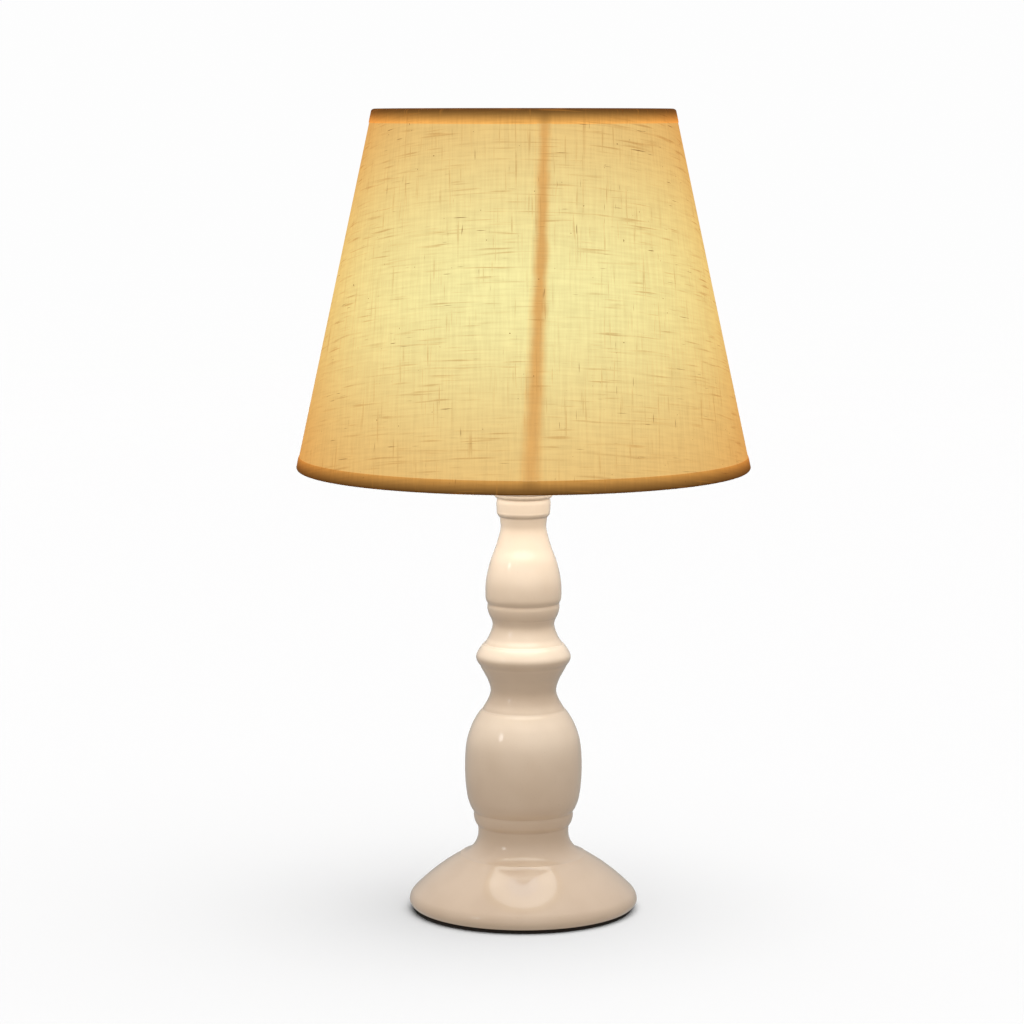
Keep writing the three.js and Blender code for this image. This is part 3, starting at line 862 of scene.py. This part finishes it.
hub = (ring_low + ring_high) / 2
rim_height = shade_low + 2
WIRE_RADIUS = 1.2
arm_route = [(cone_radius(rim_height) - HEM_INNER + 0.6, rim_height), (100, 224.6),
             (37.2, hub - 2.5), (30.4, hub), (24.6, hub)]
bpy.ops.object.select_all(action="DESELECT")
bpy.ops.curve.primitive_bezier_curve_add(location=(0, 0, 0))
arm = bpy.context.object
spline = arm.data.splines[0]
spline.bezier_points.add(len(arm_route) - 2)
for point, (radius, height) in zip(spline.bezier_points, arm_route):
    point.handle_left_type = point.handle_right_type = "AUTO"
    point.co = Vector((0, radius, height)) * MM
arm.data.bevel_depth = WIRE_RADIUS * MM
arm.data.bevel_resolution = 4
arm.data.use_fill_caps = True
bpy.ops.object.convert(target="MESH")
first_arm = bpy.context.object
first_arm.name = first_arm.data.name = "wire_arm_1"
bpy.ops.object.shade_smooth_by_angle(angle=math.radians(40))
arms = [first_arm]
for index in (1, 2):
    copied = first_arm.copy()
    copied.data = first_arm.data.copy()
    copied.name = copied.data.name = f"wire_arm_{index + 1}"
    copied.data.transform(Matrix.Rotation(index * 2 * math.pi / 3, 4, "Z"))
    bpy.context.scene.collection.objects.link(copied)
    arms.append(copied)
for number, arm in enumerate(arms, 1):
    put_on(white_epoxy, arm)
    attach(arm, "shade")
    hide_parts(f"carrier_arm_{number}")


# ---------------------------------------------------------------- ring nut
# The black ring nut screws down on the lampholder's thread and clamps the carrier on its
# shoulder. Forty small ribs give the fingers a grip.
RIBS = 40
RIB_HEIGHT = 0.8
nut_low, nut_high = (corner[2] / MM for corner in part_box("ring_nut"))
ring_nut = turn("ribbed_ring_nut", [
    (19.7, nut_low), (22.8, nut_low), (23.3, nut_low + 0.8), (23.3, nut_high - 0.8),
    (22.8, nut_high), (21.2, nut_high), (20.8, nut_high - 1.2), (19.7, nut_high - 1.2),
    (19.7, nut_low),
], 2 * RIBS)
for face in ring_nut.data.polygons:
    azimuth = math.atan2(face.center.y, face.center.x) / math.pi * RIBS
    outer = face.center.xy.length > 23.1 * MM and abs(face.normal.z) < 0.1
    face.select = outer and math.floor(azimuth) % 2 == 0
bpy.ops.object.mode_set(mode="EDIT")
bpy.ops.mesh.select_mode(type="FACE")
bpy.ops.mesh.extrude_faces_move(TRANSFORM_OT_shrink_fatten={"value": RIB_HEIGHT * MM})
bpy.ops.object.mode_set(mode="OBJECT")
round_edges(ring_nut, 0.2, 2)
put_on(black_moulding, ring_nut)
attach(ring_nut, "shade_nut")
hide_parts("ring_nut")


# ---------------------------------------------------------------- studio
# A plain pale floor that fades into a glow far off, so that its edge never shows, under a sky that
# is darker towards the ground. Each light shines only on what it is for: a wide sun on the floor,
# shadowed by the stand; a soft front light and a small left one on the lamp; a sun on the column
# from above. The glow of the shade on the column comes from two discs in the shade's opening. Only
# the lower one shows in reflections, and they are at two heights so that neither hides the other.
bpy.context.scene.view_settings.view_transform = "Standard"
bpy.context.scene.view_settings.look = "None"

bpy.ops.object.select_all(action="DESELECT")
FLOOR_SIZE = 30
FADE_START, FADE_END = 2, 6
BLACK = (0.0, 0.0, 0.0, 1.0)
PALE = (0.985, 0.985, 0.985, 1.0)
bpy.ops.mesh.primitive_plane_add(size=FLOOR_SIZE, location=(0, 0, 0))
floor = bpy.context.object
floor.name = "floor"
floor_finish, floor_shader, floor_place = start_finish("pale_floor", {
    "Roughness": 1.0, "Specular IOR Level": 0.0,
})
away = floor_place.node("ShaderNodeVectorMath", {"operation": "LENGTH"}, {0: floor_place}, "Value")
far_off = away.ease(FADE_START, FADE_END)
Signal.feed(floor_shader, {
    "Base Color": far_off.mix((0.05, 0.05, 0.05, 1.0), BLACK),
    "Emission Color": far_off.mix(BLACK, PALE),
    "Emission Strength": 1.0,
})
floor_finish.cycles.emission_sampling = "NONE"
put_on(floor_finish, floor)
floor.visible_diffuse = False
floor.visible_glossy = False

world = bpy.data.worlds.new("studio_sky")
bpy.context.scene.world = world
world.use_nodes = True
sky = world.node_tree.nodes["Background"]
direction = Signal(world.node_tree.nodes.new("ShaderNodeTexCoord").outputs["Generated"])
seen = Signal(world.node_tree.nodes.new("ShaderNodeLightPath").outputs["Is Camera Ray"])
up = direction.part("Z")
fade = up.node("ShaderNodeValToRGB", {"stops": [
    (0.0, (0.45, 0.425, 0.395, 1)), (0.46, (0.44, 0.415, 0.385, 1)), (0.58, (0.51, 0.48, 0.45, 1)),
    (1.0, (0.83, 0.80, 0.79, 1)),
]}, {0: up * 0.5 + 0.5})
Signal.feed(sky, {"Color": seen.mix(fade, PALE), "Strength": 1.0})


def listing(name, objects, state="INCLUDE"):
    """A list of objects for a light: those it is for, or those it leaves out."""
    listed = bpy.data.collections.new(name)
    for index, one in enumerate(objects):
        listed.objects.link(one)
        listed.collection_objects[index].light_linking.link_state = state
    return listed


only_floor = listing("only_floor", [floor])
spare_floor = listing("spare_floor", [floor], "EXCLUDE")
spare_shade = listing("spare_shade", [floor, liner, cloth, *hems], "EXCLUDE")
shading_floor = listing("shading_floor", stand_pieces)
for shining in (cloth, seam_strip, liner, *hems, envelope):
    shining.light_linking.receiver_collection = spare_floor


def add_light(name, kind, place, target, receivers, settings, shiny=True, blockers=None):
    """A light at a place, turned to a target, that lights only its receivers. It shows in
    reflections if it is shiny, and only its blockers, if it has any, cast shadows in it."""
    data = bpy.data.lights.new(name, kind)
    for key, value in settings.items():
        setattr(data, key, value)
    light = bpy.data.objects.new(name, data)
    light.location = place
    light.rotation_euler = (Vector(target) - Vector(place)).to_track_quat("-Z", "Y").to_euler()
    light.light_linking.receiver_collection = receivers
    if blockers:
        light.light_linking.blocker_collection = blockers
    light.visible_camera = False
    light.visible_glossy = shiny
    bpy.context.scene.collection.objects.link(light)


ground = (0, 0, 0)
mid_lamp = (0, 0, 0.2)
add_light("floor_light", "SUN", (0.15, 0, 1), ground, only_floor,
          {"energy": 60.6, "angle": math.radians(82)}, blockers=shading_floor)
add_light("front_soft", "AREA", (0.1, -1.75, 1.1), mid_lamp, spare_floor,
          {"size": 1.0, "energy": 3.6}, shiny=False)
add_light("left_small", "AREA", (-1.5, -1.2, 1.0), (0, 0, 0.1), spare_floor,
          {"size": 0.3, "energy": 1.0})
add_light("bulb_light", "POINT", (0, 0, LIGHT_HEIGHT), mid_lamp, spare_shade,
          {"energy": 0.1, "color": (1.0, 0.95, 0.85), "shadow_soft_size": 0.016})
for name, height, energy, shiny in (("shade_light", 0.236, 0.155, False),
                                    ("shade_gloss", 0.231, 0.12, True)):
    add_light(name, "AREA", (0, 0, height), ground, spare_shade,
              {"shape": "DISK", "size": 0.19, "energy": energy, "color": (0.74, 0.83, 0.94)}, shiny)
add_light("column_top", "SUN", (0, -0.15, 1), ground, listing("column", stand_pieces[2:]),
          {"energy": 2.0, "color": (0.68, 0.85, 1.0), "angle": math.radians(24)},
          shiny=False, blockers=shading_floor)
